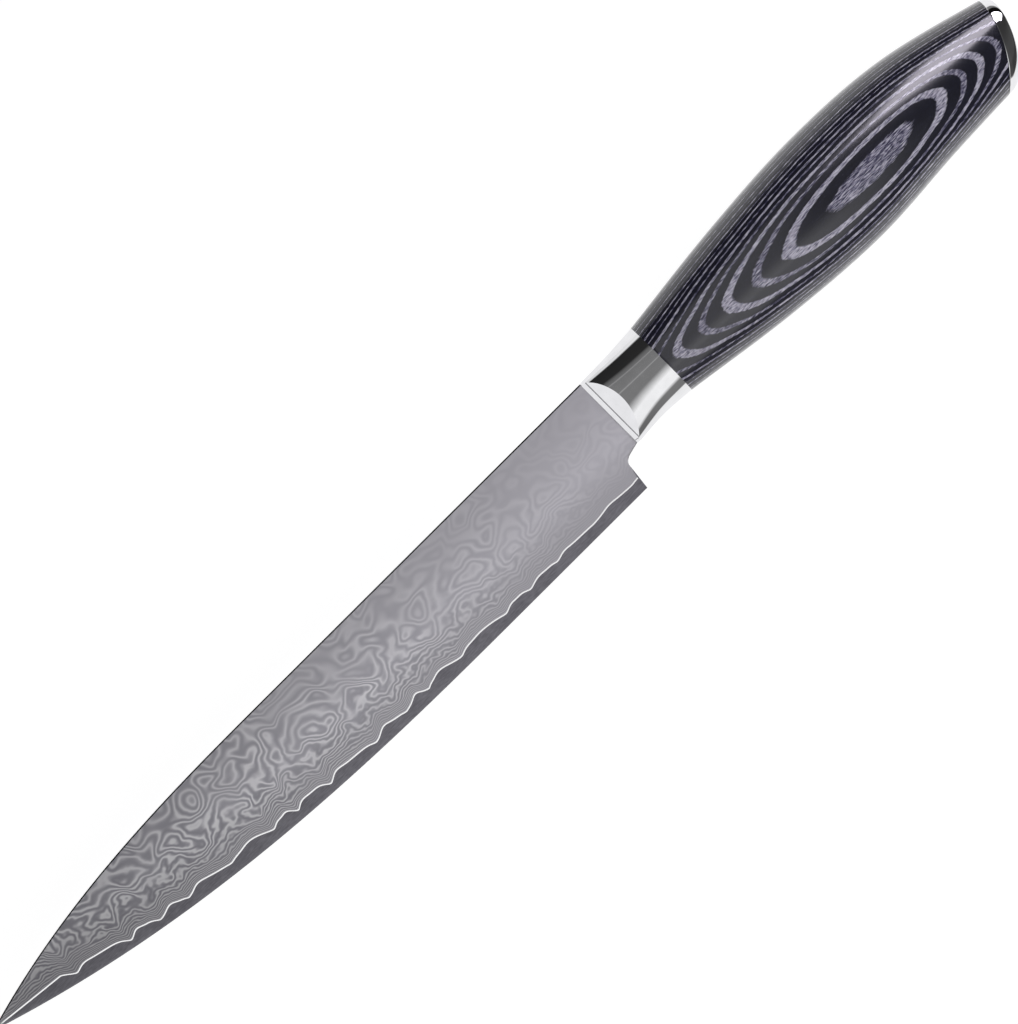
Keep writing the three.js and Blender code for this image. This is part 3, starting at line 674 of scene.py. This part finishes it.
# The end cap is a polished stainless plate glued over the arc of the butt, with a round spigot that sits
# in the counterbore. Its outer rim is rounded over, less so beside than at the spine and the edge.
CAP_ROUND = 1.4
CAP_ROUND_BESIDE = 0.42
CAP_ROUND_STEPS = 12
CAP_WALL_STEPS = 4
CAP_GAP = 0.06
CAP_EASE = 0.05
CAP_SEAT_SHARE = 0.8
CAP_FACE_SHARES = (0.85, 0.7, 0.55, 0.4, 0.25, 0.1)
SPIGOT_OUTER = 5.7
SPIGOT_INNER = 4.7
SPIGOT_REACH = 7
SPIGOT_ROOT = 1.8
SPIGOT_FLOOR = 1.2
SPIGOT_FLOOR_CROWN = 0.3
SPIGOT_CROWN_SHARE = 0.4


def cap_ring(depth, inset, size=1):
    return grip_ring(GRIP_LENGTH + depth, size, inset, inset * CAP_ROUND_BESIDE / CAP_ROUND)


wall_start = CAP_GAP + CAP_EASE
wall_end = CAP_CROWN_THICKNESS - CAP_ROUND
cap_rings = [round_ring(GRIP_LENGTH - SPIGOT_FLOOR + SPIGOT_FLOOR_CROWN, SPIGOT_INNER * SPIGOT_CROWN_SHARE),
             round_ring(GRIP_LENGTH - SPIGOT_FLOOR, SPIGOT_INNER),
             round_ring(GRIP_LENGTH - SPIGOT_REACH, SPIGOT_INNER),
             round_ring(GRIP_LENGTH - SPIGOT_REACH, SPIGOT_OUTER),
             round_ring(GRIP_LENGTH - SPIGOT_ROOT, SPIGOT_OUTER),
             cap_ring(CAP_GAP, 0, CAP_SEAT_SHARE), cap_ring(CAP_GAP, CAP_EASE)]
cap_rings += [cap_ring(blend(wall_start, wall_end, i / CAP_WALL_STEPS), 0)
              for i in range(CAP_WALL_STEPS + 1)]
for i in range(1, CAP_ROUND_STEPS + 1):
    turn = pi / 2 * i / CAP_ROUND_STEPS
    cap_rings.append(cap_ring(wall_end + CAP_ROUND * sin(turn), CAP_ROUND * (1 - cos(turn))))
cap_rings += [cap_ring(CAP_CROWN_THICKNESS, CAP_ROUND, share) for share in CAP_FACE_SHARES]
end_cap = rolled("end_cap", cap_rings)
end_cap.data.materials.append(polished)
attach(end_cap, "root")
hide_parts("end_cap")

# The knife lies on a table of white paper that glows for the camera and for mirrors. A quarter of what is
# seen of it is the lit paper, which keeps the knife's shadow.
TABLE_SIZE = 4
TABLE_DROP = 0.5
TABLE_GLOW = 1.25
LIT_SHARE = 0.25
bpy.ops.object.select_all(action="DESELECT")
bpy.ops.mesh.primitive_plane_add(size=TABLE_SIZE, location=(0, 0, -TABLE_DROP * MM))
table = bpy.context.object
table.name = "white_table"
paper, tree, shader = new_material("white_paper")
shader.inputs["Base Color"].default_value = linear("#f2f2f2")
shader.inputs["Roughness"].default_value = 0.9
rays = add_node(tree, "ShaderNodeLightPath", {}).outputs
seen = add_node(tree, "ShaderNodeMath", {0: rays["Is Camera Ray"], 1: rays["Is Glossy Ray"]},
                operation="MAXIMUM").outputs[0]
seen = add_node(tree, "ShaderNodeMath", {0: seen, 1: rays["Is Transmission Ray"]},
                operation="MAXIMUM").outputs[0]
glow = add_node(tree, "ShaderNodeEmission", {"Color": (1, 1, 1, 1), "Strength": TABLE_GLOW})
shown = add_node(tree, "ShaderNodeMixShader", {0: LIT_SHARE, 1: glow.outputs[0], 2: shader.outputs[0]})
pick = add_node(tree, "ShaderNodeMixShader", {0: seen, 1: shader.outputs[0], 2: shown.outputs[0]})
tree.links.new(pick.outputs[0], tree.nodes["Material Output"].inputs["Surface"])
table.data.materials.append(paper)

# A light tent stands over the table. Its tone changes with the lean from the edge's side (-90 degrees)
# over the top (0) to the spine's side: white low down, grey above with two bright folds, and a black
# screen before the white on the spine's side. A softbox hangs on the edge's side, and the end past the
# point is white.
TENT_TONES = [(-89, 1.0), (-86, 0.2), (-11, 0.16), (6.5, 0.16), (8, 0.3), (9.5, 0.16), (26.5, 0.15),
              (28, 0.26), (29.5, 0.14), (36, 0.1), (41, 0.02), (74, 0.02), (79, 0.9)]
SOFTBOX_TONES = [(-63, 0.0), (-54, 0.85), (-31, 0.85), (-13, 0.0)]


def lean_stops(tones):
    return [((angle + 90) / 180, (level, level, level, 1)) for angle, level in tones]


world = bpy.data.worlds.new("light_tent")
world.use_nodes = True
tree = world.node_tree
coords = add_node(tree, "ShaderNodeTexCoord", {}).outputs["Generated"]
way = add_node(tree, "ShaderNodeSeparateXYZ", {"Vector": coords}).outputs
lean = add_node(tree, "ShaderNodeMath", {0: way["Y"], 1: way["Z"]}, operation="ARCTAN2").outputs[0]
lean = add_node(tree, "ShaderNodeMapRange",
                {"Value": lean, "From Min": -pi / 2, "From Max": pi / 2}).outputs[0]
tent = add_node(tree, "ShaderNodeValToRGB", {"Fac": lean}, lean_stops(TENT_TONES)).outputs["Color"]
slope = add_node(tree, "ShaderNodeMapRange",
                 {"Value": way["X"], "From Min": -0.4, "From Max": 0.3, "To Min": 1.45,
                  "To Max": 0.26}).outputs[0]
tent = add_node(tree, "ShaderNodeVectorMath", {0: tent, "Scale": slope}, operation="SCALE").outputs[0]
softbox = add_node(tree, "ShaderNodeValToRGB", {"Fac": lean}, lean_stops(SOFTBOX_TONES)).outputs["Color"]
softbox_end = add_node(tree, "ShaderNodeMapRange",
                       {"Value": way["X"], "From Min": 0.02, "From Max": 0.14, "To Min": 1,
                        "To Max": 0.03}).outputs[0]
softbox = add_node(tree, "ShaderNodeVectorMath", {0: softbox, "Scale": softbox_end},
                   operation="SCALE").outputs[0]
tent = add_node(tree, "ShaderNodeVectorMath", {0: tent, 1: softbox}, operation="ADD").outputs[0]
past_point = add_node(tree, "ShaderNodeMapRange",
                      {"Value": way["X"], "From Min": -0.7, "From Max": -0.9}).outputs[0]
tent = add_node(tree, "ShaderNodeMix", {"Factor": past_point, 6: tent, 7: (1, 1, 1.01, 1)},
                data_type="RGBA").outputs[2]
rays = add_node(tree, "ShaderNodeLightPath", {}).outputs
tent = add_node(tree, "ShaderNodeMix", {"Factor": rays["Is Camera Ray"], 6: tent, 7: (1, 1, 1, 1)},
                data_type="RGBA").outputs[2]
background = add_node(tree, "ShaderNodeBackground", {"Color": tent, "Strength": 1})
tree.links.new(background.outputs[0], tree.nodes["World Output"].inputs["Surface"])
bpy.context.scene.world = world

# A window past the butt on the spine's side draws the long streak along the grip and the white patch on
# the end cap. Sizes and distances of the lights are in metres, and their power is in watts.
WINDOW_AIM = place(112, 4, 10)
WINDOW_WAY = Vector((0.45, 0.39, 0.8))
WINDOW_DISTANCE = 0.7
WINDOW_SIZE = (0.5, 0.42)
WINDOW_POWER = 4.6


def soft_light(name, location, size, power):
    bpy.ops.object.light_add(type="AREA", location=location)
    lamp = bpy.context.object
    lamp.name = name
    lamp.data.shape = "RECTANGLE"
    lamp.data.size, lamp.data.size_y = size
    lamp.data.energy = power
    lamp.visible_camera = False
    return lamp


window = soft_light("window_light", WINDOW_AIM + WINDOW_DISTANCE * WINDOW_WAY, WINDOW_SIZE, WINDOW_POWER)
window.data.color = linear("#f8f2ff")[:3]
window.rotation_euler = WINDOW_WAY.to_track_quat("Z", "Y").to_euler()
window.visible_diffuse = False

# A broad soft light hangs over the blade, nearer to its heel than to its point. A low one over the butt
# only lifts the grey veneers.
BLADE_LIGHT_SIZE = (0.2, 0.6)
BLADE_LIGHT_POWER = 0.19
GRIP_LIGHT_SIZE = (0.16, 0.3)
GRIP_LIGHT_POWER = 0.13
blade_light = soft_light("blade_light", place(-60, 0, 500), BLADE_LIGHT_SIZE, BLADE_LIGHT_POWER)
blade_light.visible_diffuse = False
grip_light = soft_light("grip_light", place(122, 0, 130), GRIP_LIGHT_SIZE, GRIP_LIGHT_POWER)
grip_light.visible_glossy = False

# The camera looks straight down on the blade's side with the knife running up to the right.
PICTURE_WIDTH = 234.14
PICTURE_MIDDLE = (-32.2, -0.2)
CAMERA_HEIGHT = 1500
CAMERA_TURN = radians(-44.89)
bpy.ops.object.camera_add(location=place(*PICTURE_MIDDLE, CAMERA_HEIGHT), rotation=(0, 0, CAMERA_TURN))
camera = bpy.context.object
camera.data.sensor_fit = "HORIZONTAL"
camera.data.lens = camera.data.sensor_width * CAMERA_HEIGHT / PICTURE_WIDTH
camera.data.clip_end = 10
bpy.context.scene.camera = camera
bpy.context.scene.view_settings.view_transform = "Standard"
